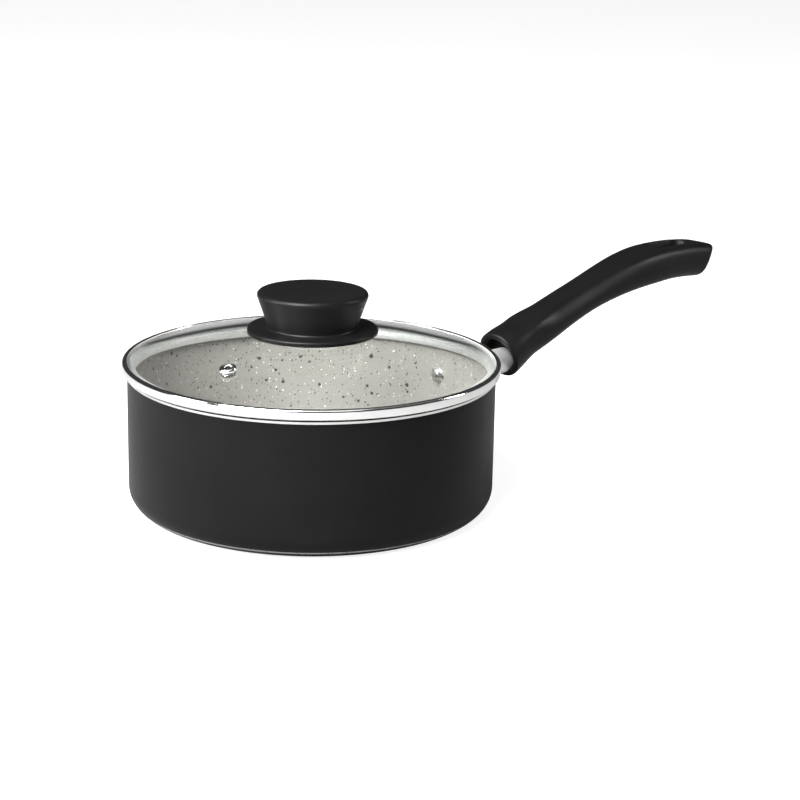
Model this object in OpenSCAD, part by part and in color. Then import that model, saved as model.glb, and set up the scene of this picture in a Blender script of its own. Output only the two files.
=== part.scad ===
// Saucepan with a domed glass lid and a long moulded handle.
// The origin is the centre of the underside of the base. +Z is up and +X runs along the handle.
// Heights of the lid parts are counted from the plane of the pan's rim.

/* [Pan] */
// Outer diameter of the pan
pan_d = 180; // [150:1:240]
// Height of the pan from its base to its rim
pan_h = 68; // [56:1:110]
// Thickness of the wall
wall_t = 2.2; // [1.6:0.1:3]
// Thickness of the floor
floor_t = 3.2; // [2.4:0.1:6]
// Outer radius of the corner between wall and base
corner_r = 11; // [7:1:18]
// Inner radius of the corner between wall and floor
inner_corner_r = 8; // [5:1:14]
// Width of the bevel turned on the outer edge of the rim
rim_bevel = 0.9; // [0.4:0.1:1.1]

/* [Handle joint] */
// Distance from the rim down to the line of the rivet and the flame guard
attach_drop = 19; // [18:0.5:24]
// Diameter of the rivet's head inside the pan
rivet_head_d = 9.6; // [8:0.1:14]
// Height of the rivet's domed head
rivet_head_h = 1.9; // [1.2:0.1:3]
// Diameter of the rivet's shank
rivet_shank_d = 4.2; // [3:0.1:5]
// Outer diameter of the flame guard
guard_d = 13.5; // [13:0.1:17]
// Wall thickness of the flame guard
guard_t = 0.6; // [0.4:0.1:0.8]
// Thickness of each leg and of the pad of the bracket
strap_t = 1.6; // [1.2:0.1:1.8]
// Height of the bracket's legs
strap_h = 6.4; // [5.2:0.1:7.5]
// Clear width between the bracket's legs
strap_gap = 6; // [5:0.1:6]
// Length of the bracket's legs inside the grip
strap_reach = 42; // [36:1:60]
// Angle at which the bracket's legs rise inside the grip
leg_angle = 25; // [18:0.5:28]
// Clearance all round what slides into a hole or a socket
fit_gap = 0.1; // [0.05:0.01:0.15]

/* [Grip] */
// Distance from the pan's wall to the end of the grip
root_gap = 44; // [32:1:60]
// Height of the grip's end above the line of the flame guard
root_lift = 3.2; // [1:0.1:3.5]
// Horizontal length of the grip's centre line
grip_len = 162.5; // [135:0.5:205]
// Height that the centre line gains from root to tip
grip_rise = 32; // [20:1:45]
// Angle at which the grip leaves its root
root_angle = 22; // [14:0.5:26]
// Angle at which the grip ends, where a minus points down
tip_angle = -7.5; // [-16:0.5:0]
// Diameter of the round root
root_d = 26.5; // [24:0.5:32]
// Depth of the grip at its slim neck
neck_depth = 18.6; // [17:0.2:26]
// Depth of the grip in the palm
palm_depth = 16.4; // [14:0.2:24]
// Depth of the grip at the slot
slot_depth = 19.6; // [16:0.2:27]
// Depth of the grip at its tip
tip_depth = 21.6; // [15:0.2:26]
// Width of the grip at its slim neck
neck_width = 24; // [20:0.5:30]
// Width of the grip in the palm
palm_width = 23; // [19:0.5:30]
// Width of the grip at the slot
slot_width = 27.5; // [22:0.5:33]
// Length of the hanging slot
hang_len = 32; // [22:1:40]
// Width of the hanging slot
hang_w = 12; // [7:0.5:13]
// Distance from the middle of the hanging slot to the tip's last full section
hang_back = 23.6; // [21:0.2:45]
// Diameter of the recess that takes the flame guard
recess_d = 19.5; // [19:0.5:21]
// Depth of that recess
recess_depth = 6; // [4:0.5:9]

/* [Lid] */
// Outer diameter of the lid's steel rim over the pan's outer diameter
rim_over = 4.8; // [3:0.2:8]
// Thickness of the rim's sheet steel
rim_t = 0.5; // [0.3:0.1:0.6]
// Thickness of the glass
glass_t = 4; // [3:0.1:4.5]
// Height of the glass at its centre above the pan's rim
dome_h = 18.2; // [16:0.2:26]
// Depth of the lid's skirt inside the pan
skirt_depth = 3.6; // [2:0.2:7]
// Gap between the skirt and the inside of the pan's wall
skirt_gap = 1.6; // [1:0.1:3]
// Gap that keeps the lid just clear of the pan's rim
seat_gap = 0.15; // [0.1:0.05:0.3]
// Distance of the steam vent from the centre of the lid
vent_r = 62; // [44:1:64]
// Direction of the steam vent
vent_az = -171; // [-180:1:180]
// Outer diameter of the vent's eyelet
vent_d = 8.2; // [7.5:0.1:11]
// Diameter of the vent's hole
vent_bore = 3.8; // [2:0.1:4.2]

/* [Knob] */
// Diameter of the knob's top
knob_top_d = 54.5; // [46:0.5:66]
// Diameter of the knob where it stands on its flange
knob_waist_d = 43.5; // [38:0.5:54]
// Height of the knob above its flange
knob_h = 18; // [15:0.2:26]
// Diameter of the flange under the knob
flange_d = 64; // [60:0.5:78]
// Thickness of the flange at its edge
flange_t = 2.6; // [2:0.1:4]
// Thickness of the soft ring between flange and glass
flange_ring_t = 1.9; // [1.4:0.1:2.4]
// Diameter of the screw that holds the knob
knob_screw_d = 4; // [3:0.5:5]

/* [Hidden] */
$fn = 96;
cut = 1;                                    // how far a cutting tool runs past what it cuts
dome_steps = 1440;                          // steps round the dome's circle, for thin parts on it

// Pan
pan_r = pan_d / 2;
inner_r = pan_r - wall_t;
rim_inner_bevel = 0.4;
line_z = pan_h - attach_drop;               // height of the rivet and of the flame guard

// Rivet, bracket and flame guard
rivet_tail_d = strap_gap - 0.2;
rivet_tail_h = 1.4;
strap_w = strap_gap + 2 * strap_t;
guard_bore = guard_d - 2 * guard_t;
guard_seat = 4.4;                           // how far the flame guard goes into the grip
leg_room = sqrt(guard_bore * guard_bore - strap_w * strap_w) / 2 - fit_gap;

// Grip
root_x = pan_r + root_gap;
root_z = line_z + root_lift;
guard_end = root_x + guard_seat;
// where the legs turn up, so late that they clear the end of the flame guard
leg_lead = (leg_room - strap_h / 2) / tan(leg_angle) - strap_h / 2 * tan(leg_angle / 2);
bend_x = max(root_x + 1, guard_end - leg_lead);
tip_x = root_x + grip_len;
tip_z = root_z + grip_rise;
root_pull = 41;                             // how far the curve keeps its angle at the root
tip_pull = 66.5;                            // and at the tip
tip_lean = 25;                              // extra forward slant of the tip's end face
tip_round_w = 9;                            // rounding of the tip seen from above
tip_round_top = 1.5;                        // rounding of its upper edge seen from the side
tip_round_low = 7.5;                        // and of its lower edge
tip_bulge = 5;                              // how far the rounded tip stands out
stations = [0, 0.15, 0.45, 0.82, 1];
depths = [root_d, neck_depth, palm_depth, slot_depth, tip_depth];
widths = [root_d, neck_width, palm_width, slot_width, slot_width - 0.5];
shoulders = [1, 1, 1, 0.75, 0.75];          // how far the upper corners are cut down
shoulder_side = 0.787;                      // the shoulder's slant, as its share of the side
shoulder_top = 0.52;                        // and of the top
top_square = 6;                             // how square the section's upper half turns
belly_square = 1.5;                         // and its lower half
top_narrow = 0.06;                          // how much narrower the top is than the middle
ring_count = 40;
cap_rings = 5;
side_count = 32;
ends = [[root_x, root_z], [tip_x, tip_z]];
leaves = [[cos(root_angle), sin(root_angle)], [cos(tip_angle), sin(tip_angle)]];
controls = [ends[0], ends[0] + root_pull * leaves[0], ends[1] - tip_pull * leaves[1], ends[1]];

// Screw from below into the nut between the bracket's legs
nut_at = 28.5;                              // distance of the nut from the bend of the legs
nut_len = 9;
screw_d = 4;
screw_web = 1.9;                            // moulded wall between socket and screw head
screw_head_d = 7;
screw_head_h = 1.8;
screw_washer_t = 0.6;
screw_reach = 5;                            // how far the screw goes past the middle of the nut

// Lid
seat_z = pan_h + seat_gap;
rim_r = pan_r + rim_over / 2;
rim_round = 1.2;                            // outer radius of the band's bends
glass_r = rim_r - rim_t - 0.1;
glass_low = seat_z + rim_t + 0.05;
glass_edge_top = glass_low + glass_t;
edge_bevel = 0.75 * (rim_round - rim_t);    // ground edge that clears the band's bends
rim_top = glass_edge_top + rim_t + 0.05;
lip_r = rim_r - 2.4;                        // inner edge of the lip over the glass
skirt_r = inner_r - skirt_gap;
dome_foot_r = lip_r - 0.2;
dome_rise = pan_h + dome_h - glass_edge_top;
dome_r = (dome_foot_r * dome_foot_r + dome_rise * dome_rise) / (2 * dome_rise);
dome_top = pan_h + dome_h;
dome_c = dome_top - dome_r;                 // height of the dome's centre of curvature
vent_tilt = asin(vent_r / dome_r);
vent_tube_d = vent_bore + 1.6;
vent_gasket_t = 0.5;
vent_lip_t = 1.1;
soft_gap = 0.05;                            // keeps the curved faces of pressed parts apart

// Knob
under_r = dome_r + flange_ring_t;           // sphere that hollows the flange's underside
flange_r = flange_d / 2;
flange_low = dome_c + sqrt(under_r * under_r - flange_r * flange_r);
flange_top = flange_low + flange_t;
knob_top = flange_top + knob_h;
knob_round = 2;
dish_r = knob_top_d / 2 - 4.6;
dish_depth = 1.1;
dish_ball = (dish_r * dish_r + dish_depth * dish_depth) / (2 * dish_depth);
spigot_d = 20;
knob_wall = 4;
spigot_low = dome_top + 0.3;
insert_d = 9;
insert_h = 12;
knob_hole_d = knob_screw_d + 3;
knob_gasket_d = 20;
knob_gasket_t = 1.6;
knob_washer_d = 16;
knob_washer_t = 1;
knob_head_d = 9;
knob_head_h = 2.6;
under_z = dome_top - glass_t;               // underside of the glass at its centre
gasket_low = under_z - knob_gasket_t;
washer_low = gasket_low - knob_washer_t;

// Smooth step from 0 to 1
function ease(t) = t * t * (3 - 2 * t);

// Which stretch between two stations holds t
function stretch(t, i = 0) = i >= len(stations) - 2 || t < stations[i + 1] ? i : stretch(t, i + 1);

// Value at t, eased from one station's value to the next
function along(values, t) =
    let (i = stretch(t), u = (t - stations[i]) / (stations[i + 1] - stations[i]))
    values[i] + (values[i + 1] - values[i]) * ease(min(1, max(0, u)));

// Point of the grip's centre line, in the plane of X and Z
function centre(t) =
    let (s = 1 - t)
    s * s * s * controls[0] + 3 * s * s * t * controls[1]
    + 3 * s * t * t * controls[2] + t * t * t * controls[3];

// Angle of the centre line above the horizontal
function slope(t) =
    let (s = 1 - t, d = s * s * (controls[1] - controls[0]) + 2 * s * t * (controls[2] - controls[1])
        + t * t * (controls[3] - controls[2]))
    atan2(d[1], d[0]);

// One cross-section: a round that turns into a box with a flat top, sloping shoulders and a soft
// belly. It is the outline where the powers of the distances to its sides add up to one.
function section(at, angle, w, h, square, shoulder) =
    [for (k = [0 : side_count - 1])
        let (a = 360 * k / side_count, c = abs(cos(a)), s = sin(a),
            power = 2 + (s > 0 ? top_square : belly_square) * square,
            slant = s > 0 ? square * shoulder * (shoulder_side * c + shoulder_top * s) : 0,
            reach = pow(pow(c, power) + pow(abs(s), power) + pow(slant, power), -1 / power),
            up = s * reach * h / 2,
            out = cos(a) * reach * w / 2 * (1 - top_narrow * square * max(0, s) * reach))
        [at[0] - up * sin(angle), out, at[1] + up * cos(angle)]];

function ring(i) =
    let (t = i / (ring_count - 1), lean = tip_lean * ease(max(0, (t - 0.7) / 0.3)))
    section(centre(t), slope(t) - lean, along(widths, t), along(depths, t), ease(min(1, t / 0.3)),
        along(shoulders, t));

function cap_ring(i) =
    let (a = 90 * i / cap_rings, drop = 1 - cos(a), angle = tip_angle - tip_lean,
        rise = (tip_round_low - tip_round_top) / 2 * drop,
        at = centre(1) + tip_bulge * sin(a) * leaves[1] + rise * [-sin(angle), cos(angle)])
    section(at, angle, along(widths, 1) - 2 * tip_round_w * drop,
        tip_depth - (tip_round_low + tip_round_top) * drop, 1, along(shoulders, 1));

function flat(lists) = [for (l = lists) for (p = l) p];

// Frame along the bracket's rising legs: x runs up the grip and z is square to it
module on_legs(distance) {
    translate([bend_x, 0, line_z]) rotate([0, -leg_angle, 0]) translate([distance, 0, 0]) children();
}

// Frame with its origin at the centre of curvature of the glass
module on_dome() {
    translate([0, 0, dome_c]) children();
}

module turned() {
    rotate_extrude($fn = 180) children();
}

module tube(outer_d, bore_d, h) {
    difference() {
        cylinder(d = outer_d, h = h);
        translate([0, 0, -cut]) cylinder(d = bore_d, h = h + 2 * cut);
    }
}

// Half section of a vessel with a rounded foot
module vessel_half(r, low, high, round_r) {
    union() {
        translate([0, low]) square([r - round_r, high - low]);
        translate([0, low + round_r]) square([r, high - low - round_r]);
        translate([r - round_r, low + round_r]) intersection() {
            circle(r = round_r);
            translate([0, -round_r]) square(round_r);
        }
    }
}

module pan_body() {
    color("#2b2b2b") difference() {
        turned() difference() {
            vessel_half(pan_r, 0, pan_h, corner_r);
            vessel_half(inner_r, floor_t, pan_h + cut, inner_corner_r);
            polygon([[pan_r - rim_bevel, pan_h + 0.01], [pan_r + 0.01, pan_h + 0.01],
                [pan_r + 0.01, pan_h - rim_bevel]]);
            polygon([[inner_r + rim_inner_bevel, pan_h + 0.01], [inner_r - 0.01, pan_h + 0.01],
                [inner_r - 0.01, pan_h - rim_inner_bevel]]);
        }
        translate([inner_r - 2 * wall_t, 0, line_z]) rotate([0, 90, 0])
            cylinder(d = rivet_shank_d + fit_gap, h = 4 * wall_t);
    }
}

module handle_rivet() {
    head_ball = (rivet_head_d * rivet_head_d / 4 + rivet_head_h * rivet_head_h) / (2 * rivet_head_h);
    grip_on_wall = 0.2;                     // head reaches the curved wall all round
    color("#8a8a88") translate([inner_r, 0, line_z]) rotate([0, 90, 0]) {
        difference() {
            translate([0, 0, -rivet_head_h]) intersection() {
                translate([0, 0, head_ball]) sphere(r = head_ball);
                cylinder(d = rivet_head_d, h = rivet_head_h - grip_on_wall);
            }
        }
        translate([0, 0, -rivet_head_h / 2])
            cylinder(d = rivet_shank_d, h = rivet_head_h / 2 + wall_t + strap_t + rivet_tail_h / 2);
        translate([0, 0, wall_t + strap_t]) cylinder(d = rivet_tail_d, h = rivet_tail_h);
    }
}

// One leg seen from the side: level through the flame guard, then up into the grip
module leg_side(h, from_x) {
    polygon([[from_x, line_z - h / 2], [bend_x + h / 2 * tan(leg_angle / 2), line_z - h / 2],
        [bend_x + strap_reach * cos(leg_angle) + h / 2 * sin(leg_angle),
            line_z + strap_reach * sin(leg_angle) - h / 2 * cos(leg_angle)],
        [bend_x + strap_reach * cos(leg_angle) - h / 2 * sin(leg_angle),
            line_z + strap_reach * sin(leg_angle) + h / 2 * cos(leg_angle)],
        [bend_x - h / 2 * tan(leg_angle / 2), line_z + h / 2], [from_x, line_z + h / 2]]);
}

module handle_bracket() {
    color("#b5b5b3") difference() {
        union() {
            for (side = [-1, 1])
                translate([0, side * (strap_gap + strap_t) / 2 + strap_t / 2, 0]) rotate([90, 0, 0])
                    linear_extrude(strap_t) leg_side(strap_h, pan_r);
            translate([pan_r - 0.5, -strap_w / 2, line_z - strap_h / 2])
                cube([strap_t + 0.5, strap_w, strap_h]);
        }
        cylinder(r = pan_r, h = pan_h, $fn = 180);
        translate([pan_r - cut, 0, line_z]) rotate([0, 90, 0])
            cylinder(d = rivet_shank_d + fit_gap, h = strap_t + 2 * cut);
    }
}

module flame_guard() {
    overlap = 1.5;                          // past the wall's curve, and then cut off
    color("#d5d5d5") difference() {
        translate([pan_r - overlap, 0, line_z]) rotate([0, 90, 0])
            tube(guard_d, guard_bore, guard_end - pan_r + overlap);
        cylinder(r = pan_r + 0.02, h = pan_h, $fn = 180);
    }
}

module anchor_nut() {
    color("#9a9a98") on_legs(nut_at) difference() {
        translate([-nut_len / 2, -(strap_gap - 0.1) / 2, -strap_h / 2])
            cube([nut_len, strap_gap - 0.1, strap_h]);
        translate([0, 0, -strap_h]) cylinder(d = screw_d + 0.1, h = 2 * strap_h);
    }
}

module grip_blank() {
    rings = [for (i = [0 : ring_count - 1]) ring(i), for (i = [1 : cap_rings]) cap_ring(i)];
    n = len(rings);
    sides = [for (i = [0 : n - 2]) for (k = [0 : side_count - 1])
        let (a = i * side_count + k, b = i * side_count + (k + 1) % side_count)
        [a, b, b + side_count, a + side_count]];
    caps = [[for (k = [side_count - 1 : -1 : 0]) k],
        [for (k = [0 : side_count - 1]) (n - 1) * side_count + k]];
    polyhedron(points = flat(rings), faces = concat([for (f = sides) [f[3], f[2], f[1], f[0]]],
        [for (f = caps) [for (k = [len(f) - 1 : -1 : 0]) f[k]]]), convexity = 6);
}

module hang_slot() {
    mid = centre(1) - hang_back * leaves[1];
    straight = hang_len - hang_w;
    translate([mid[0], 0, mid[1]]) rotate([0, -tip_angle / 2, 0]) {
        for (side = [-1, 1])
            translate([side * straight / 2, 0, -40]) cylinder(d = hang_w, h = 80);
        translate([-straight / 2, -hang_w / 2, -40]) cube([straight, hang_w, 80]);
    }
}

module handle_grip() {
    socket_h = strap_h + 4 * fit_gap;
    socket_w = strap_w + 4 * fit_gap;
    seat = strap_h / 2 + 2 * fit_gap + screw_web;
    color("#1d1d1d") difference() {
        grip_blank();
        translate([root_x, 0, root_z]) rotate([0, -root_angle, 0]) translate([-10, 0, 0])
            rotate([0, 90, 0]) cylinder(d = recess_d, h = 10 + recess_depth);
        translate([root_x - 10, 0, line_z]) rotate([0, 90, 0])
            cylinder(d = guard_d + 2 * fit_gap, h = 10 + guard_seat + fit_gap);
        on_legs(0) translate([0, -socket_w / 2, -socket_h / 2])
            cube([strap_reach + 1, socket_w, socket_h]);
        on_legs(nut_at) {
            translate([0, 0, -seat - cut]) cylinder(d = screw_d + 0.5, h = seat + cut);
            translate([0, 0, -seat - 20]) cylinder(d = screw_head_d + 1.2, h = 20);
        }
        hang_slot();
    }
}

module handle_lock_washer() {
    seat = strap_h / 2 + 2 * fit_gap + screw_web;
    color("#a8a8a6") on_legs(nut_at) translate([0, 0, -seat - screw_washer_t])
        tube(screw_head_d + 0.6, screw_d + 0.4, screw_washer_t);
}

module handle_screw() {
    low = strap_h / 2 + 2 * fit_gap + screw_web + screw_washer_t;
    color("#b8b8b6") on_legs(nut_at) translate([0, 0, -low]) difference() {
        union() {
            translate([0, 0, -screw_head_h]) cylinder(d = screw_head_d, h = screw_head_h);
            translate([0, 0, -cut]) cylinder(d = screw_d, h = low + cut + screw_reach - strap_h / 2);
        }
        for (turn = [0, 90]) rotate([0, 0, turn])
            translate([-2, -0.45, -screw_head_h - cut]) cube([4, 0.9, cut + 1]);
    }
}

module glass_half() {
    intersection() {
        difference() {
            union() {
                translate([0, dome_c]) circle(r = dome_r, $fn = 360);
                translate([0, -cut]) square([glass_r, glass_edge_top + cut]);
            }
            translate([0, dome_c]) circle(r = dome_r - glass_t, $fn = 360);
        }
        polygon([[0, glass_low], [glass_r - edge_bevel, glass_low], [glass_r, glass_low + edge_bevel],
            [glass_r, glass_edge_top - edge_bevel], [glass_r - edge_bevel, glass_edge_top],
            [glass_r - edge_bevel, dome_top + cut], [0, dome_top + cut]]);
    }
}

module lid_glass() {
    color("#dfe9e6", 0.35) difference() {
        turned() glass_half();
        translate([0, 0, under_z - 5]) cylinder(d = knob_hole_d, h = 20);
        on_dome() rotate([0, 0, vent_az]) rotate([0, vent_tilt, 0])
            translate([0, 0, dome_r - 2 * glass_t]) cylinder(d = vent_tube_d + 0.4, h = 4 * glass_t);
    }
}

// Section of the steel band: rounded channel round the glass, shelf on the pan's rim, skirt inside it
module band_half() {
    difference() {
        band_block(0, rim_round);
        band_block(rim_t, rim_round - rim_t);
        translate([lip_r - 20, seat_z + rim_t]) square([20, glass_t + 8]);
    }
    translate([skirt_r - rim_t, seat_z]) square([lip_r - skirt_r + rim_t, rim_t]);
    translate([skirt_r - rim_t, seat_z - skirt_depth - seat_gap])
        square([rim_t, skirt_depth + seat_gap + rim_t]);
}

module band_block(inset, round_r) {
    low = seat_z + inset;
    high = rim_top - inset;
    right = rim_r - inset;
    left = lip_r - 1;
    union() {
        translate([left, low]) square([right - round_r - left, high - low]);
        translate([left, low + round_r]) square([right - left, high - low - 2 * round_r]);
        for (y = [low + round_r, high - round_r]) translate([right - round_r, y]) circle(r = round_r);
    }
}

module lid_rim_band() {
    color("#d9d9d9") turned() band_half();
}

module at_vent() {
    on_dome() rotate([0, 0, vent_az]) rotate([0, vent_tilt, 0]) children();
}

module vent_eyelet() {
    top = dome_r + vent_gasket_t;
    low = dome_r - glass_t - 0.4;
    color("#c9c9c7") at_vent() turned() difference() {
        union() {
            translate([0, low - 0.7]) square([vent_tube_d / 2, top - low + 1]);
            translate([0, top]) square([vent_d / 2 - vent_lip_t, vent_lip_t]);
            intersection() {
                translate([vent_d / 2 - vent_lip_t, top]) circle(r = vent_lip_t);
                translate([0, top]) square(vent_d);
            }
            translate([0, low - 0.7]) square([vent_d / 2 - 0.4, 0.7]);
        }
        translate([0, low - 5]) square([vent_bore / 2, 20]);
        translate([vent_bore / 2, top + vent_lip_t + 0.1]) circle(r = 0.5);
    }
}

module vent_gasket() {
    color("#efefe8") at_vent() translate([0, 0, dome_r + soft_gap])
        tube(vent_d - 0.2, vent_tube_d + 0.2, vent_gasket_t - soft_gap);
}

module knob_flange() {
    edge_round = 1;
    // the blank reaches down past the dome at the flange's edge, and the dome's shape cuts it back
    blank_low = dome_c + sqrt(pow(under_r, 2) - pow(flange_r, 2)) - cut;
    color("#1f1f1f") difference() {
        turned() difference() {
            union() {
                translate([0, blank_low]) square([flange_r - edge_round, flange_top - blank_low]);
                translate([0, blank_low])
                    square([flange_r, flange_top - edge_round - blank_low]);
                translate([flange_r - edge_round, flange_top - edge_round])
                    circle(r = edge_round);
            }
            translate([0, dome_c]) circle(r = under_r, $fn = dome_steps);
        }
        translate([0, 0, blank_low - cut])
            cylinder(d = spigot_d + 2 * fit_gap, h = flange_top - blank_low + 2 * cut);
    }
}

module flange_gasket() {
    ring_in = spigot_d / 2 + 3;
    ring_w = 5;
    color("#d8d8d0") turned() intersection() {
        difference() {
            translate([0, dome_c]) circle(r = under_r - soft_gap, $fn = dome_steps);
            translate([0, dome_c]) circle(r = dome_r + soft_gap, $fn = dome_steps);
        }
        translate([ring_in, dome_top - 5]) square([ring_w, 10]);
    }
}

module knob_half() {
    r1 = knob_waist_d / 2;
    r2 = knob_top_d / 2;
    lean = atan2(r2 - r1, knob_h);
    // the rounded upper edge touches the sloping side and the top
    cx = r2 - knob_round - knob_round * tan(lean / 2) * 0.5;
    difference() {
        union() {
            polygon([[0, flange_top], [r1, flange_top], [cx + knob_round * cos(lean),
                knob_top - knob_round - knob_round * sin(lean)], [cx, knob_top - knob_round],
                [cx, knob_top], [0, knob_top]]);
            translate([cx, knob_top - knob_round]) circle(r = knob_round);
            translate([0, spigot_low]) square([spigot_d / 2, flange_top - spigot_low + 1]);
        }
        translate([0, knob_top - dish_depth + dish_ball]) circle(r = dish_ball, $fn = 360);
        translate([spigot_d / 2, flange_top - cut])
            square([r1 - knob_wall - spigot_d / 2, knob_h - knob_wall - dish_depth + cut]);
        translate([0, spigot_low - cut]) square([insert_d / 2, insert_h + cut + 0.5]);
    }
}

module knob() {
    color("#191919") turned() intersection() {
        knob_half();
        square([knob_top_d, knob_top + cut]);
    }
}

module knob_insert() {
    color("#b8963e") translate([0, 0, spigot_low + 0.3])
        tube(insert_d, knob_screw_d + 0.1, insert_h);
}

module knob_gasket() {
    bore_r = knob_screw_d / 2 + 0.5;
    color("#e6e6df") turned() intersection() {
        translate([0, dome_c]) circle(r = dome_r - glass_t - soft_gap, $fn = dome_steps);
        translate([bore_r, gasket_low]) square([knob_gasket_d / 2 - bore_r, knob_gasket_t + 1]);
    }
}

module knob_washer() {
    color("#b0b0ae") translate([0, 0, washer_low]) tube(knob_washer_d, knob_screw_d + 0.4, knob_washer_t);
}

module knob_screw() {
    reach = spigot_low + insert_h - 2;
    color("#bcbcba") difference() {
        union() {
            translate([0, 0, washer_low - knob_head_h]) cylinder(d = knob_head_d, h = knob_head_h);
            translate([0, 0, washer_low - cut]) cylinder(d = knob_screw_d, h = reach - washer_low + cut);
        }
        for (turn = [0, 90]) rotate([0, 0, turn])
            translate([-2.6, -0.55, washer_low - knob_head_h - cut]) cube([5.2, 1.1, cut + 1.4]);
    }
}

pan_body();
handle_rivet();
handle_bracket();
flame_guard();
anchor_nut();
handle_grip();
handle_lock_washer();
handle_screw();
lid_glass();
lid_rim_band();
vent_eyelet();
vent_gasket();
knob_flange();
flange_gasket();
knob();
knob_insert();
knob_gasket();
knob_washer();
knob_screw();
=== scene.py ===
# %% [markdown]
# # A saucepan with a glass lid
# This notebook dresses a saucepan whose sizes and joints are already settled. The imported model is
# loaded as a fixed frame: a pan with its long handle, and a lid that lifts off. Each step takes one
# piece of the real pan, says how it is made, and models or finishes it to match.

# %% Load the frame
import math

import bmesh
import bpy
from mathutils import Matrix, Vector
from mathutils.bvhtree import BVHTree


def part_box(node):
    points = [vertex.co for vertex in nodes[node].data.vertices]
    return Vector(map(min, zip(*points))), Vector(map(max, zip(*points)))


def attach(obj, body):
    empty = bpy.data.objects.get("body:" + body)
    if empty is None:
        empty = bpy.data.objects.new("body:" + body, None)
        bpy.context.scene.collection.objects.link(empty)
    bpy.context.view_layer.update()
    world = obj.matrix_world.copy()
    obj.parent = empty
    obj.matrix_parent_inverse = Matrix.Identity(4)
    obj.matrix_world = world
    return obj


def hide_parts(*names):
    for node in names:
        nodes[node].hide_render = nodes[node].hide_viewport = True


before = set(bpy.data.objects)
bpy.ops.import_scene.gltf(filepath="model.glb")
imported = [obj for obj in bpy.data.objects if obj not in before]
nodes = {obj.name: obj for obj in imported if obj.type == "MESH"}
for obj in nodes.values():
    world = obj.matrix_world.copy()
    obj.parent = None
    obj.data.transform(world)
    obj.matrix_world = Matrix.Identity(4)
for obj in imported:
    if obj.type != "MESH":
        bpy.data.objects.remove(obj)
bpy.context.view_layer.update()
print("pieces in the frame:", len(nodes))

# %% [markdown]
# ## The sizes that everything else hangs on
# The pan, the lid's steel band, the knob and its flange are all round about one upright axis, so
# their boxes give their radii and heights. Sizes are in metres, and `mm` turns millimetres into
# them.

# %% Sizes read from the frame
def mm(value):
    return value * 0.001


pan_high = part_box("pan_body")[1]
glass_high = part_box("lid_glass")[1]
flange_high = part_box("knob_flange")[1]
band_low, band_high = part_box("lid_rim_band")
knob_low, knob_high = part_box("knob")
guard_low, guard_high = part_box("flame_guard")
PAN_R = pan_high.x
RIM_Z = pan_high.z
WALL = mm(2.2)
FLOOR = mm(3.2)
LINE_Z = (guard_low.z + guard_high.z) / 2       # height of the flame guard's axis
BAND_GAP = mm(0.15)                             # between the pan's rim and the lid's band
print(f"pan {2000 * PAN_R:.1f} mm across, {1000 * RIM_Z:.1f} mm high")

# %% [markdown]
# ## Camera
# The pan is seen from a little above, with the handle going away to the right. The camera stands
# one metre off and aims to the right of the pan, which leaves room for the handle.

# %% Camera
CAMERA_DISTANCE = 1.0
CAMERA_ELEVATION = math.radians(15.0)
HANDLE_TURN = math.radians(42.0)
AIM_DOWN = math.radians(15.85)
AIM_RIGHT = math.radians(2.57)
ROLL = math.radians(1.19)
LENS = 91.8


def add_camera():
    """A camera that looks along +Y, then is turned about the pan so that the handle points away."""
    camera = bpy.data.objects.new("camera", bpy.data.cameras.new("camera"))
    bpy.context.scene.collection.objects.link(camera)
    camera.data.lens = LENS
    camera.data.sensor_width = 36.0
    place = Vector((0, -CAMERA_DISTANCE * math.cos(CAMERA_ELEVATION),
                    CAMERA_DISTANCE * math.sin(CAMERA_ELEVATION) + RIM_Z))
    aim = (Matrix.Rotation(-AIM_RIGHT, 4, "Z") @ Matrix.Rotation(math.pi / 2 - AIM_DOWN, 4, "X")
           @ Matrix.Rotation(ROLL, 4, "Z"))
    camera.matrix_world = Matrix.Rotation(-HANDLE_TURN, 4, "Z") @ Matrix.Translation(place) @ aim
    bpy.context.scene.camera = camera
    return camera


camera = add_camera()
print("camera at", [round(v, 3) for v in camera.matrix_world.translation])

# %% [markdown]
# ## A few helpers
# Colours are written as sRGB hex, as a paint chart gives them, and one function turns them linear.
# One function adds a shader node with its settings and links. A finish is named after its real
# material, and every pattern's scale comes from a size in millimetres: a Noise or Voronoi texture
# on Object coordinates repeats about once per 1/scale metres.

# %% Helpers for finishes
def srgb(text):
    """'#rrggbb' as a linear colour with alpha 1."""
    parts = [int(text[i:i + 2], 16) / 255 for i in (1, 3, 5)]
    linear = [c / 12.92 if c <= 0.04045 else ((c + 0.055) / 1.055) ** 2.4 for c in parts]
    return (*linear, 1.0)


def per_mm(size):
    """The texture scale at which one feature is about that many millimetres wide."""
    return 1000.0 / size


def add_node(tree, kind, values=(), links=(), **settings):
    """Adds a shader node, sets its properties and its inputs' values, and links its inputs."""
    node = tree.nodes.new(kind)
    for name, value in settings.items():
        setattr(node, name, value)
    for name, value in dict(values).items():
        node.inputs[name].default_value = value
    for name, source in dict(links).items():
        tree.links.new(source, node.inputs[name])
    return node


def new_finish(name, **values):
    """A material with a bare Principled shader, and the Object coordinates for its patterns."""
    material = bpy.data.materials.new(name)
    material.use_nodes = True
    tree = material.node_tree
    tree.nodes.clear()
    shader = add_node(tree, "ShaderNodeBsdfPrincipled", values)
    output = add_node(tree, "ShaderNodeOutputMaterial")
    tree.links.new(shader.outputs["BSDF"], output.inputs["Surface"])
    place = add_node(tree, "ShaderNodeTexCoord").outputs["Object"]
    return material, tree, shader, place


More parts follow.
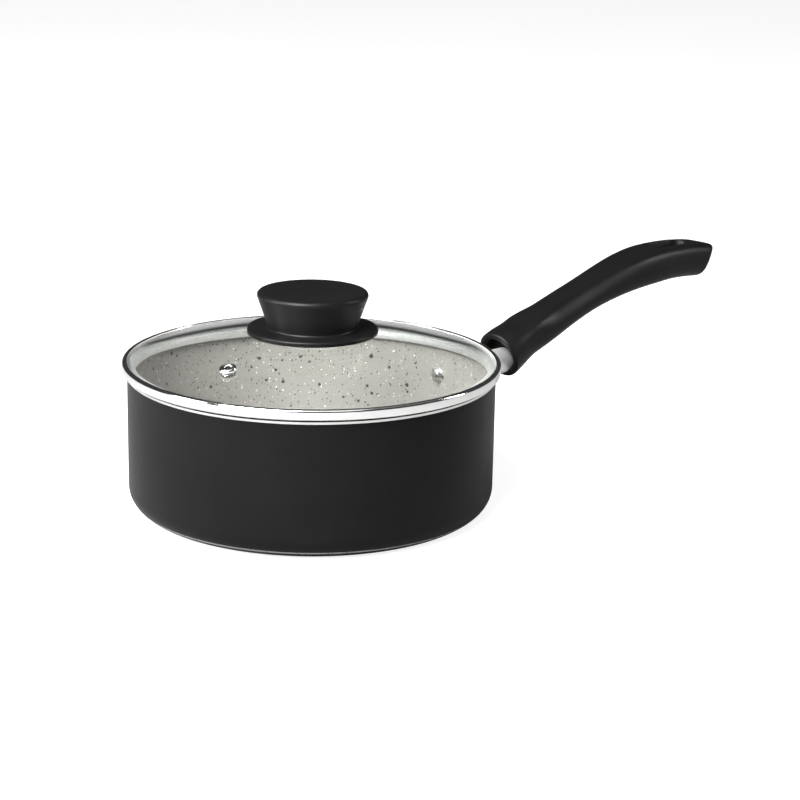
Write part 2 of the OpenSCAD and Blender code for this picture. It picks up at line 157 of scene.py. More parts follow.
def map_range(tree, source, from_min, from_max, to_min, to_max):
    """Source moved from one range of numbers to another, and held there."""
    node = add_node(tree, "ShaderNodeMapRange", {"From Min": from_min, "From Max": from_max,
                                                 "To Min": to_min, "To Max": to_max},
                    {"Value": source})
    return node.outputs["Result"]


def blend_colour(tree, share, first, second):
    """Mixes two colours. Each is a hex text or the output of another node."""
    node = add_node(tree, "ShaderNodeMix", data_type="RGBA")
    tree.links.new(share, node.inputs["Factor"])
    for slot, colour in ((6, first), (7, second)):
        if isinstance(colour, str):
            node.inputs[slot].default_value = srgb(colour)
        else:
            tree.links.new(colour, node.inputs[slot])
    return node.outputs[2]


def add_bump(tree, shader, height, strength, depth_mm):
    """Raises the surface by up to depth_mm where height is 1."""
    bump = add_node(tree, "ShaderNodeBump", {"Strength": strength, "Distance": mm(depth_mm)},
                    {"Height": height})
    tree.links.new(bump.outputs["Normal"], shader.inputs["Normal"])


def noise(tree, place, feature_mm, detail=3.0):
    """Soft noise from 0 to 1, with features about feature_mm wide."""
    node = add_node(tree, "ShaderNodeTexNoise", {"Scale": per_mm(feature_mm), "Detail": detail,
                                                 "Roughness": 0.55}, {"Vector": place})
    return node.outputs["Fac"]


# %% [markdown]
# ## The outside: heat-proof satin enamel
# The outside of a pressed aluminium pan is sprayed with a black heat-proof enamel. It levels almost
# flat, with a very fine orange peel, so the eye gets a soft, wide highlight and a slightly uneven
# sheen. Enamel is a dielectric, so metallic is 0 and the IOR stays near 1.5. The matting powder in
# it scatters most of the gloss away, so its specular level is low and its blacks stay deep.

# %% Satin enamel
def make_satin_enamel():
    material, tree, shader, place = new_finish("satin_black_enamel", **{
        "IOR": 1.5, "Metallic": 0.0, "Specular IOR Level": 0.07})
    cloud = noise(tree, place, 24, 2.0)
    peel = noise(tree, place, 0.9, 2.0)
    colour = blend_colour(tree, cloud, "#0b0b0b", "#101010")
    tree.links.new(colour, shader.inputs["Base Color"])
    tree.links.new(map_range(tree, peel, 0.3, 0.7, 0.38, 0.45), shader.inputs["Roughness"])
    add_bump(tree, shader, peel, 0.25, 0.02)
    return material


# %% [markdown]
# ## The inside: speckled non-stick coating
# The inside carries a warm grey non-stick coating with dark and pale flakes thrown into it, which
# makes it look like stone. Flakes are drawn with Voronoi cells: each cell holds one flake at its
# centre, and the cell's own random colour decides whether it shows and how large it is.

# %% Speckled coating
RAGGED_MM = 1.3                 # width of the waves that make a flake's edge ragged
RAGGED_BY = mm(0.7)             # how far they shift it


def flakes(tree, place, cell_mm, largest_mm, share):
    """1 inside the flakes: one cell in 1/share holds one, up to largest_mm in radius."""
    warp = add_node(tree, "ShaderNodeTexNoise", {"Scale": per_mm(RAGGED_MM), "Detail": 1.0},
                    {"Vector": place})
    shift = add_node(tree, "ShaderNodeVectorMath", {1: (0.5, 0.5, 0.5)},
                     {0: warp.outputs["Color"]}, operation="SUBTRACT")
    small = add_node(tree, "ShaderNodeVectorMath", {"Scale": RAGGED_BY}, {0: shift.outputs[0]},
                     operation="SCALE")
    bent = add_node(tree, "ShaderNodeVectorMath", links={0: place, 1: small.outputs[0]},
                    operation="ADD")
    cells = add_node(tree, "ShaderNodeTexVoronoi", {"Scale": per_mm(cell_mm)},
                     {"Vector": bent.outputs[0]})
    pick = add_node(tree, "ShaderNodeSeparateColor", links={"Color": cells.outputs["Color"]})
    size = map_range(tree, pick.outputs["Red"], 1.0 - share, 1.0, 0.0, largest_mm / cell_mm)
    inside = add_node(tree, "ShaderNodeMath", links={0: size, 1: cells.outputs["Distance"]},
                      operation="SUBTRACT")
    return map_range(tree, inside.outputs[0], 0.0, 0.03, 0.0, 1.0)


def make_stone_coating():
    material, tree, shader, place = new_finish("speckled_nonstick_coating",
                                               **{"IOR": 1.45, "Metallic": 0.0})
    cloud = noise(tree, place, 18, 3.0)
    grain = noise(tree, place, 0.6, 2.0)
    base = blend_colour(tree, cloud, "#74716d", "#817e7b")
    base = blend_colour(tree, map_range(tree, grain, 0.35, 0.65, 0.0, 0.4), base, "#605d59")
    pale = flakes(tree, place, cell_mm=1.6, largest_mm=0.46, share=0.4)
    base = blend_colour(tree, pale, base, "#c2beb8")
    fine = flakes(tree, place, cell_mm=1.4, largest_mm=0.5, share=0.65)
    base = blend_colour(tree, fine, base, "#2b2825")
    large = flakes(tree, place, cell_mm=3.9, largest_mm=1.25, share=0.5)
    base = blend_colour(tree, large, base, "#0c0b09")
    tree.links.new(base, shader.inputs["Base Color"])
    tree.links.new(map_range(tree, grain, 0.3, 0.7, 0.38, 0.5), shader.inputs["Roughness"])
    add_bump(tree, shader, grain, 0.3, 0.03)
    return material


# %% [markdown]
# ## Bare aluminium
# After coating, the rim and the underside are turned on a lathe, so both show bare aluminium with
# fine rings about the pan's axis. Aluminium is a metal: metallic 1 and the default IOR.

# %% Turned aluminium
def make_turned_aluminium():
    material, tree, shader, place = new_finish("turned_aluminium", **{"Metallic": 1.0})
    flat = add_node(tree, "ShaderNodeVectorMath", {1: (1.0, 1.0, 0.0)}, {0: place},
                    operation="MULTIPLY")
    reach = add_node(tree, "ShaderNodeVectorMath", links={0: flat.outputs[0]}, operation="LENGTH")
    ring_pitch = mm(1.1)                    # real tool marks are finer; these can be seen
    turns = add_node(tree, "ShaderNodeMath", {1: 2 * math.pi / ring_pitch},
                     {0: reach.outputs["Value"]}, operation="MULTIPLY")
    rings = add_node(tree, "ShaderNodeMath", links={0: turns.outputs[0]}, operation="SINE")
    smear = noise(tree, place, 9, 3.0)
    tone = blend_colour(tree, smear, "#c2c2c0", "#d6d6d4")
    tree.links.new(tone, shader.inputs["Base Color"])
    tree.links.new(map_range(tree, rings.outputs[0], -1, 1, 0.2, 0.34), shader.inputs["Roughness"])
    add_bump(tree, shader, rings.outputs[0], 0.35, 0.03)
    return material


# %% [markdown]
# ## Stainless steel, polished and satin
# The outside of the lid's band and the eyelet are rolled stainless sheet, polished to a near mirror
# with faint hairlines and a touch of cloudiness. The flame guard and the inside of the band and its
# skirt keep the satin skin that the rolls left. It spreads reflections wide, so it looks paler.
# Their copies of the steel also get a paler tone than the polished band: painted light that makes
# the guard and the band's inside read brighter.

# %% Stainless steel
def make_stainless(name, low, high, tone="#d9d9d8"):
    """Stainless sheet whose roughness runs from low to high along its hairlines."""
    material, tree, shader, place = new_finish(name, **{"Metallic": 1.0})
    cloud = noise(tree, place, 7, 3.0)
    stretch = add_node(tree, "ShaderNodeMapping", {"Scale": (1.0, 1.0, 14.0)}, {"Vector": place})
    hair = noise(tree, stretch.outputs["Vector"], 1.5, 2.0)
    tree.links.new(blend_colour(tree, cloud, tone, "#e6e6e5"), shader.inputs["Base Color"])
    tree.links.new(map_range(tree, hair, 0.3, 0.7, low, high), shader.inputs["Roughness"])
    add_bump(tree, shader, hair, 0.1, 0.005)
    return material


# %% [markdown]
# ## Black phenolic moulding
# Grip, knob and flange are compression moulded phenolic, better known by the old name bakelite. It
# leaves a polished steel mould with a satin skin: nearly black, with a wide soft highlight, a fine
# pebble from the mould's texture and slight flow marks that change the sheen. The wood flour that
# fills the resin dulls its gloss, so the specular level is low.

# %% Phenolic
def make_phenolic():
    material, tree, shader, place = new_finish("black_phenolic", **{
        "IOR": 1.5, "Metallic": 0.0, "Specular IOR Level": 0.13})
    flow = noise(tree, place, 16, 3.0)
    pebble = noise(tree, place, 0.7, 2.0)
    tree.links.new(blend_colour(tree, flow, "#080808", "#0d0d0d"), shader.inputs["Base Color"])
    sheen = add_node(tree, "ShaderNodeMath", {1: 0.35}, {0: flow}, operation="MULTIPLY")
    both = add_node(tree, "ShaderNodeMath", links={0: sheen.outputs[0], 1: pebble}, operation="ADD")
    tree.links.new(map_range(tree, both.outputs[0], 0.45, 0.9, 0.33, 0.44),
                   shader.inputs["Roughness"])
    add_bump(tree, shader, pebble, 0.25, 0.025)
    return material


# %% [markdown]
# ## Toughened glass
# The lid is 4 mm toughened soda-lime glass, clear with a trace of green. Only its surface finish
# varies, so a faint noise keeps its roughness just off zero. Lamps have to shine through it into
# the pan, so shadow rays pass straight through and are only tinted.

# %% Glass
def make_glass():
    material, tree, shader, place = new_finish("toughened_glass", **{
        "Base Color": srgb("#fdfefd"), "IOR": 1.5, "Transmission Weight": 1.0, "Metallic": 0.0})
    wave = noise(tree, place, 30, 1.0)
    tree.links.new(map_range(tree, wave, 0.3, 0.7, 0.0, 0.015), shader.inputs["Roughness"])
    output = next(n for n in tree.nodes if n.bl_idname == "ShaderNodeOutputMaterial")
    clear = add_node(tree, "ShaderNodeBsdfTransparent", {"Color": srgb("#fafcfb")})
    path = add_node(tree, "ShaderNodeLightPath")
    mix = add_node(tree, "ShaderNodeMixShader", links={
        "Fac": path.outputs["Is Shadow Ray"], 1: shader.outputs["BSDF"], 2: clear.outputs["BSDF"]})
    tree.links.new(mix.outputs["Shader"], output.inputs["Surface"])
    return material


# %% [markdown]
# ## The small hardware
# Screws, nut, washers and bracket are zinc-plated steel, the knob's insert is brass and the gaskets
# are milky silicone. They hide inside, but the lid can be lifted and the pan turned over.

# %% Hardware finishes
def make_plain(name, low_tone, high_tone, low, high, feature_mm, **values):
    """A finish with one noise for its tone and its roughness."""
    material, tree, shader, place = new_finish(name, **values)
    spots = noise(tree, place, feature_mm, 3.0)
    tree.links.new(blend_colour(tree, spots, low_tone, high_tone), shader.inputs["Base Color"])
    tree.links.new(map_range(tree, spots, 0.3, 0.7, low, high), shader.inputs["Roughness"])
    add_bump(tree, shader, spots, 0.1, 0.01)
    return material


enamel = make_satin_enamel()
coating = make_stone_coating()
turned_metal = make_turned_aluminium()
band_steel = make_stainless("polished_stainless_band", 0.06, 0.12)
# near-white tones, paler than the band's steel: painted light on the guard and the band's inside
guard_steel = make_stainless("satin_stainless_guard", 0.5, 0.6, "#f8f8f7")
skirt_steel = make_stainless("satin_stainless_skirt", 0.42, 0.52, "#f6f6f5")
phenolic = make_phenolic()
glass = make_glass()
zinc = make_plain("zinc_plated_steel", "#a9abad", "#c2c3c2", 0.28, 0.42, 3.0, Metallic=1.0)
rivet_metal = make_plain("polished_aluminium_rivet", "#b9b9b7", "#cccccb", 0.2, 0.3, 2.0,
                         Metallic=1.0)
brass = make_plain("turned_brass", "#b28d3c", "#c9a24a", 0.25, 0.4, 2.0, Metallic=1.0)
silicone = make_plain("milky_silicone", "#d9d9d2", "#ecece6", 0.45, 0.6, 2.0,
                      **{"Subsurface Weight": 0.2, "Subsurface Radius": (0.002, 0.002, 0.002)})
print("finishes:", len(bpy.data.materials))

# %% [markdown]
# ## Turning a shape on the lathe
# Most of this pan is round: it is spun, pressed or turned about its own axis. So its pieces are
# made the same way here. A few points give half of the section, and `bmesh.ops.spin` turns it full
# circle. Rounded corners are short runs of points on an arc. After the spin, doubled points are
# merged and the normals are made to point outwards.

# %% The lathe
WIDE_STEPS = 256                # facets round the pan, the band and the glass


def arc(cx, cz, radius, start, end, count):
    """Points on an arc in the section, with angles in degrees from the outward direction."""
    angles = [math.radians(start + (end - start) * i / count) for i in range(count + 1)]
    return [(cx + radius * math.cos(a), cz + radius * math.sin(a)) for a in angles]


def finish_mesh(bm, name, materials, body, sharp=40):
    """Turns a bmesh into an object that rides on a body."""
    mesh = bpy.data.meshes.new(name)
    bm.to_mesh(mesh)
    bm.free()
    for material in materials:
        mesh.materials.append(material)
    mesh.shade_smooth()
    mesh.set_sharp_from_angle(angle=math.radians(sharp))
    piece = bpy.data.objects.new(name, mesh)
    bpy.context.scene.collection.objects.link(piece)
    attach(piece, body)
    print(f"{name}: {len(mesh.polygons)} faces")
    return piece


def lathe(outline, steps=192, closed=True):
    """Spins a half section of (radius, height) points about Z."""
    bm = bmesh.new()
    verts = [bm.verts.new((r, 0.0, z)) for r, z in outline]
    pairs = list(zip(verts, verts[1:]))
    if closed:
        pairs.append((verts[-1], verts[0]))
    edges = [bm.edges.new(p) for p in pairs]
    bmesh.ops.spin(bm, geom=verts + edges, cent=(0, 0, 0), axis=(0, 0, 1), angle=2 * math.pi,
                   steps=steps, use_merge=True, use_duplicate=False)
    bmesh.ops.remove_doubles(bm, verts=bm.verts, dist=mm(0.001))
    bmesh.ops.dissolve_degenerate(bm, edges=bm.edges, dist=mm(0.001))
    bmesh.ops.recalc_face_normals(bm, faces=bm.faces)
    return bm


# %% [markdown]
# ## The pan
# A disc of aluminium is drawn into a vessel with one radius where the wall meets the base. Its rim
# is trimmed flat on the lathe. The small bevel outside keeps the black enamel as painted shade: it
# draws the dark line of shade between the lid's band and the pan. Below it a narrow ring is left
# bare, which shows as a thin bright line under the lid. The underside is faced flat. Three finishes
# go on one mesh, by where each face lies.

# %% Pan body
CORNER_R = mm(11)
INNER_CORNER_R = mm(8)
RIM_BEVEL = mm(0.9)
RIM_INNER_BEVEL = mm(0.4)
BARE_RIM = mm(2.0)              # how far below the rim the bare ring ends
BASE_FACED_R = mm(72)
FLOOR_MID_R = mm(40)            # splits the long faces of the pan's floor


def pan_outline():
    inner = PAN_R - WALL
    outline = [(0.0, 0.0), (BASE_FACED_R, 0.0)]
    outline += arc(PAN_R - CORNER_R, CORNER_R, CORNER_R, -90, 0, 14)
    outline += [(PAN_R, RIM_Z * 0.5)]
    outline += [(PAN_R, RIM_Z - BARE_RIM), (PAN_R, RIM_Z - RIM_BEVEL), (PAN_R - RIM_BEVEL, RIM_Z)]
    outline += [(inner + RIM_INNER_BEVEL, RIM_Z), (inner, RIM_Z - RIM_INNER_BEVEL)]
    outline += [(inner, RIM_Z * 0.5)]
    outline += arc(inner - INNER_CORNER_R, FLOOR + INNER_CORNER_R, INNER_CORNER_R, 0, -90, 12)
    outline += [(FLOOR_MID_R, FLOOR), (0.0, FLOOR)]
    return outline


def make_pan():
    bm = lathe(pan_outline(), steps=WIDE_STEPS)
    slack = mm(0.05)
    for face in bm.faces:
        middle = face.calc_center_median()
        reach = math.hypot(middle.x, middle.y)
        inside = reach < PAN_R - WALL + slack and middle.z > FLOOR - slack
        on_top = middle.z > RIM_Z - slack
        in_ring = RIM_Z - BARE_RIM < middle.z < RIM_Z - RIM_BEVEL and not inside
        faced = middle.z < slack and reach < BASE_FACED_R
        # the outer bevel falls to the enamel: painted shade, the dark line under the lid's band
        face.material_index = 2 if on_top or in_ring or faced else int(inside)
    piece = finish_mesh(bm, "pan_vessel", [enamel, coating, turned_metal], "pan", sharp=35)
    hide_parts("pan_body")
    return piece


pan = make_pan()

# %% [markdown]
# ## The lid's steel band
# One strip of stainless sheet is rolled round the edge of the glass. Seen in section it is a
# channel with two rounded bends, a shelf that sits on the pan's rim and a skirt that drops inside
# the pan and keeps the lid centred. Its edges are rounded a little, as rolled sheet's are. A face
# belongs to the satin inside if it looks towards the middle of the channel, or is on the skirt.

# %% Rim band
SHEET = mm(0.5)
BEND_R = mm(1.2)
LIP_W = mm(2.4)
SKIRT_R = PAN_R - WALL - mm(1.6)


def band_outline():
    out, low, high = band_high.x, RIM_Z + BAND_GAP, band_high.z
    inner_bend = BEND_R - SHEET
    lip = out - LIP_W
    outline = [(SKIRT_R - SHEET, band_low.z), (SKIRT_R - SHEET, low + SHEET * 0.4)]
    outline += arc(SKIRT_R - SHEET * 0.4, low + SHEET * 0.4, SHEET * 0.6, 180, 90, 4)
    outline += arc(out - BEND_R, low + BEND_R, inner_bend, -90, 0, 6)
    outline += arc(out - BEND_R, high - BEND_R, inner_bend, 0, 90, 6)
    outline += arc(lip + SHEET / 2, high - SHEET / 2, SHEET / 2, 270, 90, 6)
    outline += arc(out - BEND_R, high - BEND_R, BEND_R, 90, 0, 10)
    outline += arc(out - BEND_R, low + BEND_R, BEND_R, 0, -90, 10)
    outline += [(SKIRT_R + SHEET * 0.3, low), (SKIRT_R, low - SHEET * 0.3)]
    outline += arc(SKIRT_R - SHEET / 2, band_low.z + SHEET / 2, SHEET / 2, 0, -180, 6)
    return outline[1:]


def make_band():
    bm = lathe(band_outline(), steps=WIDE_STEPS)
    channel_r = band_high.x - BEND_R
    channel_z = (RIM_Z + band_high.z) / 2
    for face in bm.faces:
        middle = face.calc_center_median()
        reach = math.hypot(middle.x, middle.y)
        outwards = (face.normal.x * middle.x + face.normal.y * middle.y) / reach
        inside = outwards * (channel_r - reach) + face.normal.z * (channel_z - middle.z) > 0
        face.material_index = 1 if inside or reach < SKIRT_R + SHEET else 0
    piece = finish_mesh(bm, "rim_band", [band_steel, skirt_steel], "lid", sharp=50)
    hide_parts("lid_rim_band")
    return piece


band = make_band()

# %% [markdown]
# ## The glass
# A flat disc of glass is heated and slumped into a dome, then chilled fast to toughen it. Its edge
# is ground flat, and it lies in the band. The upper and lower faces are arcs about one centre.

# %% Lid glass
GLASS_T = mm(4)
GLASS_R = band_high.x - SHEET - mm(0.1)
GLASS_LOW = RIM_Z + BAND_GAP + SHEET + mm(0.05)
DOME_FOOT_R = band_high.x - LIP_W - mm(0.2)
DOME_RISE = glass_high.z - GLASS_LOW - GLASS_T
DOME_R = (DOME_FOOT_R ** 2 + DOME_RISE ** 2) / (2 * DOME_RISE)
DOME_C = glass_high.z - DOME_R
print(f"dome radius {1000 * DOME_R:.0f} mm")
SCREW_HOLE_R = mm(3.5)
VENT_HOLE_R = mm(2.9)
GROUND_EDGE = 30                # degrees: steeper edges are drawn sharp


def dome_z(reach, radius):
    """Height of a dome of that radius about the glass's centre of curvature."""
    return DOME_C + math.sqrt(radius ** 2 - reach ** 2)


def glass_outline():
    under = DOME_R - GLASS_T
    under_foot = math.sqrt(under ** 2 - (GLASS_LOW - DOME_C) ** 2)
    count = 36
    outer = [SCREW_HOLE_R + (DOME_FOOT_R - SCREW_HOLE_R) * i / count for i in range(count + 1)]
    inner = [under_foot + (SCREW_HOLE_R - under_foot) * i / count for i in range(count + 1)]
    edge = mm(0.5)
    outline = [(r, dome_z(r, DOME_R)) for r in outer]
    outline += arc(GLASS_R - edge, GLASS_LOW + GLASS_T - edge, edge, 90, 0, 3)
    outline += arc(GLASS_R - edge, GLASS_LOW + edge, edge, 0, -90, 3)
    outline += [(r, dome_z(r, under)) for r in inner]
    return outline


# %% [markdown]
# The glass gets a hole for the steam vent, drilled square to the dome. A Boolean with a plain
# cylinder does it, because the hole doesn't line up with the rings that the lathe made.

# %% Drill the glass
VENT_R = mm(62)
VENT_AZIMUTH = math.radians(-171)
VENT_TILT = math.asin(VENT_R / DOME_R)
at_vent = (Matrix.Translation((0, 0, DOME_C)) @ Matrix.Rotation(VENT_AZIMUTH, 4, "Z")
           @ Matrix.Rotation(VENT_TILT, 4, "Y"))


def cut_with(piece, cutter):
    """Takes the cutter out of the piece and throws it away."""
    modifier = piece.modifiers.new("cut", "BOOLEAN")
    modifier.operation = "DIFFERENCE"
    modifier.solver = "EXACT"
    modifier.object = cutter
    with bpy.context.temp_override(object=piece, active_object=piece):
        bpy.ops.object.modifier_apply(modifier="cut")
    bpy.data.objects.remove(cutter)


def loose_object(bm, name):
    """An object with this mesh, which rides on nothing."""
    mesh = bpy.data.meshes.new(name)
    bm.to_mesh(mesh)
    bm.free()
    thing = bpy.data.objects.new(name, mesh)
    bpy.context.scene.collection.objects.link(thing)
    return thing


def make_glass_dome():
    glass_mesh = lathe(glass_outline(), steps=WIDE_STEPS)
    piece = finish_mesh(glass_mesh, "glass_dome", [glass], "lid", sharp=GROUND_EDGE)
    bm = bmesh.new()
    bmesh.ops.create_cone(bm, segments=40, radius1=VENT_HOLE_R, radius2=VENT_HOLE_R,
                          depth=mm(24), cap_ends=True,
                          matrix=at_vent @ Matrix.Translation((0, 0, DOME_R)))
    cut_with(piece, loose_object(bm, "vent_drill"))
    piece.data.shade_smooth()
    piece.data.set_sharp_from_angle(angle=math.radians(GROUND_EDGE))
    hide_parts("lid_glass")
    return piece


dome = make_glass_dome()

# %% [markdown]
# ## The steam vent
# A thin steel eyelet is pressed through the glass and rolled over at the top, with a soft ring
# under it. It is turned upright first and then tipped to stand square on the dome.

# %% Vent eyelet
def eyelet_outline():
    bore, tube, out = mm(1.9), mm(2.7), mm(4.1)
    curl, curl_up = mm(0.75), mm(0.4)
    lip, lip_up = mm(0.85), mm(0.25)
    foot_r, foot_t, foot_edge = out - mm(0.4), mm(0.7), mm(0.15)
    top = DOME_R + mm(0.5)
    low = DOME_R - GLASS_T - mm(0.4)
    outline = [(bore, low - foot_t), (bore, top + curl_up)]
    outline += arc(bore + curl, top + curl_up, curl, 180, 80, 8)
    outline += arc(out - lip, top + lip_up, lip, 78, 0, 8)
    outline += [(out, top), (tube, top), (tube, low), (foot_r, low)]
    outline += [(foot_r, low - foot_t + foot_edge), (out - mm(0.6), low - foot_t)]
    return outline


def make_eyelet():
    bm = lathe(eyelet_outline(), steps=64)
    bmesh.ops.transform(bm, matrix=at_vent, verts=bm.verts)
    piece = finish_mesh(bm, "steam_vent", [band_steel], "lid", sharp=50)
    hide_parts("vent_eyelet")
    return piece


eyelet = make_eyelet()

# %% [markdown]
# ## Flange and knob
# The flange is a flat disc with a rounded edge, hollowed under to follow the glass. The knob
# flares towards the top, with a rounded lip and a shallow dish that a thumb finds. A small fillet
# runs round its foot and catches the light as a thin line.

# %% Flange and knob
FLANGE_R = flange_high.x
FLANGE_TOP = flange_high.z
KNOB_TOP_R = mm(54.5) / 2
KNOB_WAIST_R = mm(43.5) / 2
KNOB_LIP = mm(2)
SPIGOT_R = mm(10)
INSERT_R = mm(4.5)
INSERT_DEPTH = mm(12.5)
UNDER_R = DOME_R + mm(1.9)      # the flange's hollow, about the glass's centre of curvature


def flange_outline():
    edge = mm(1.0)
    bore = SPIGOT_R + mm(0.1)
    foot_r = FLANGE_R - mm(0.4)
    count = 12
    reach = [foot_r + (bore - foot_r) * i / count for i in range(count + 1)]
    outline = [(bore, FLANGE_TOP)]
    outline += arc(FLANGE_R - edge, FLANGE_TOP - edge, edge, 90, 0, 6)
    outline += [(FLANGE_R, dome_z(FLANGE_R, UNDER_R) + mm(0.4))]
    outline += [(r, dome_z(r, UNDER_R)) for r in reach]
    return outline


def knob_outline():
    lean = math.atan2(KNOB_TOP_R - KNOB_WAIST_R, knob_high.z - FLANGE_TOP)
    cx = knob_high.x - KNOB_LIP
    cz = knob_high.z - KNOB_LIP
    dish_r = KNOB_TOP_R - mm(4.6)
    dish_depth = mm(1.1)
    dish_z = knob_high.z - dish_depth
    ball = (dish_r ** 2 + dish_depth ** 2) / (2 * dish_depth)
    foot = mm(1.1)
    outline = [(0.0, dish_z)]
    outline += [(dish_r * s, dish_z + ball - math.sqrt(ball ** 2 - (dish_r * s) ** 2))
                for s in (0.2, 0.4, 0.6, 0.8, 0.93)]
    outline += [(dish_r + mm(0.8), knob_high.z - mm(0.02))]
    outline += arc(cx, cz, KNOB_LIP, 84, -math.degrees(lean), 12)
    wall_foot = (KNOB_WAIST_R + foot * math.tan(lean), FLANGE_TOP + foot)
    outline += [wall_foot]
    outline += arc(wall_foot[0] + foot, wall_foot[1], foot, 180, 268, 6)[1:]
    outline += [(SPIGOT_R, FLANGE_TOP), (SPIGOT_R, knob_low.z), (INSERT_R, knob_low.z)]
    outline += [(INSERT_R, knob_low.z + INSERT_DEPTH), (0.0, knob_low.z + INSERT_DEPTH)]
    return outline


def make_flange():
    piece = finish_mesh(lathe(flange_outline()), "flange_disc", [phenolic], "lid", sharp=50)
    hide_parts("knob_flange")
    return piece


def make_knob():
    knob_mesh = lathe(knob_outline(), closed=False)
    piece = finish_mesh(knob_mesh, "lid_knob", [phenolic], "lid", sharp=60)
    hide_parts("knob")
    return piece


flange = make_flange()
knob = make_knob()

# %% [markdown]
# ## The grip
# The grip is one moulding that changes all along its length: a round root, a slim neck, a palm
# with a flat top between two ridges, and a deep tip. It is made as a sweep. A circle is extruded
# ring by ring along a Bezier curve, and each ring's points are moved onto that place's own
# cross-section, a rounded square whose depth, width and squareness ease from one station to the
# next. Extruding keeps each point's number, so a point always knows where round the section it
# belongs.

# %% The grip's centre line and sections
ROOT = Vector((PAN_R + mm(44), LINE_Z + mm(3.2)))
TIP = ROOT + Vector((mm(162.5), mm(32)))
ROOT_ANGLE = math.radians(22)
TIP_ANGLE = math.radians(-7.5)
ROOT_LEAVES = Vector((math.cos(ROOT_ANGLE), math.sin(ROOT_ANGLE)))
TIP_LEAVES = Vector((math.cos(TIP_ANGLE), math.sin(TIP_ANGLE)))
CONTROLS = [ROOT, ROOT + mm(41) * ROOT_LEAVES, TIP - mm(66.5) * TIP_LEAVES, TIP]
STATIONS = [0.0, 0.15, 0.45, 0.82, 1.0]         # places along the curve, from root to tip
DEPTHS = [mm(v) for v in (26.5, 18.6, 16.4, 19.6, 21.6)]
WIDTHS = [mm(v) for v in (26.5, 24, 23, 27.5, 27)]
SHOULDERS = [1.0, 1.0, 1.0, 0.75, 0.75]         # how strongly the top's corners slant
SHOULDER_SIDE = 0.787
SHOULDER_TOP = 0.52
TOP_SQUARE = 6.0                # added to a circle's power of 2, above and below
BELLY_SQUARE = 1.5
TOP_NARROW = 0.06
SQUARE_FROM = 0.3               # where the round root has become a rounded square
LEAN_FROM = 0.7                 # where the sections start to lean towards the tip's end face
TIP_LEAN = math.radians(25)
TIP_ROUND_W = mm(9)
TIP_ROUND_TOP = mm(1.5)
TIP_ROUND_LOW = mm(7.5)
TIP_BULGE = mm(4.9)
CAP_RINGS = 8
CAP_INSETS = (0.6, 0.25)        # shrinking rings that close the tip's end face
RINGS = 100
SIDES = 64


def ease(t):
    t = min(1.0, max(0.0, t))
    return t * t * (3 - 2 * t)


def along(values, t):
    """The value at t, eased from one station to the next."""
    i = max(k for k in range(len(STATIONS) - 1) if t >= STATIONS[k])
    u = (t - STATIONS[i]) / (STATIONS[i + 1] - STATIONS[i])
    return values[i] + (values[i + 1] - values[i]) * ease(u)


def centre(t):
    s = 1 - t
    a, b, c, d = CONTROLS
    return s ** 3 * a + 3 * s * s * t * b + 3 * s * t * t * c + t ** 3 * d


def slope(t):
    s = 1 - t
    a, b, c, d = CONTROLS
    way = s * s * (b - a) + 2 * s * t * (c - b) + t * t * (d - c)
    return math.atan2(way.y, way.x)


def section_point(at, angle, width, depth, square, shoulder, k):
    """Point k of SIDES round a cross-section that stands at `at` and leans by `angle`."""
    a = 2 * math.pi * k / SIDES
    up, out = math.sin(a), math.cos(a)
    upper = up > 0
    power = 2 + (TOP_SQUARE if upper else BELLY_SQUARE) * square
    slant = square * shoulder * (SHOULDER_SIDE * abs(out) + SHOULDER_TOP * up) if upper else 0.0
    reach = (abs(out) ** power + abs(up) ** power + slant ** power) ** (-1 / power)
    rise = up * reach * depth / 2
    side = out * reach * width / 2 * (1 - TOP_NARROW * square * max(0.0, up) * reach)
    return Vector((at.x - rise * math.sin(angle), side, at.y + rise * math.cos(angle)))


def ring_place(t):
    """What section_point needs for the ring at t."""
    lean = TIP_LEAN * ease((t - LEAN_FROM) / (1 - LEAN_FROM))
    return (centre(t), slope(t) - lean, along(WIDTHS, t), along(DEPTHS, t), ease(t / SQUARE_FROM),
            along(SHOULDERS, t))


def cap_place(a):
    """The same for the rounded tip, from a = 0 to 90 degrees."""
    drop = 1 - math.cos(a)
    angle = TIP_ANGLE - TIP_LEAN
    rise = (TIP_ROUND_LOW - TIP_ROUND_TOP) / 2 * drop
    at = centre(1) + TIP_BULGE * math.sin(a) * TIP_LEAVES
    at += rise * Vector((-math.sin(angle), math.cos(angle)))
    return (at, angle, along(WIDTHS, 1) - 2 * TIP_ROUND_W * drop,
            along(DEPTHS, 1) - (TIP_ROUND_LOW + TIP_ROUND_TOP) * drop, 1.0, SHOULDERS[-1])


# %% [markdown]
# The sweep starts with the root's outer ring. From there one run of rings goes along the grip to
# the rounded tip, and another goes inwards: across the end face, down the recess that takes the
# flame guard, and into the narrow socket that holds the bracket.

# %% Sweep the grip
RECESS_R = mm(19.5) / 2
RECESS_DEPTH = mm(6)
RECESS_RIM = mm(1.6)
SOCKET_W = mm(9.6)
SOCKET_H = mm(6.8)
SOCKET_SQUARE = 9               # its corners are nearly square: a circle has 2
SOCKET_END = mm(38)
SOCKET_DROP = mm(1.5)           # how far the socket's mouth is below the guard's axis


def extrude_ring(bm, edges, side, place_of):
    """Extrudes a closed ring of edges and puts each new point where place_of(k) says."""
    made = bmesh.ops.extrude_edge_only(bm, edges=edges)["geom"]
    for v in made:
        if isinstance(v, bmesh.types.BMVert):
            v.co = place_of(v[side])
    return [e for e in made if isinstance(e, bmesh.types.BMEdge)
            and all(f in made for f in e.link_faces)]


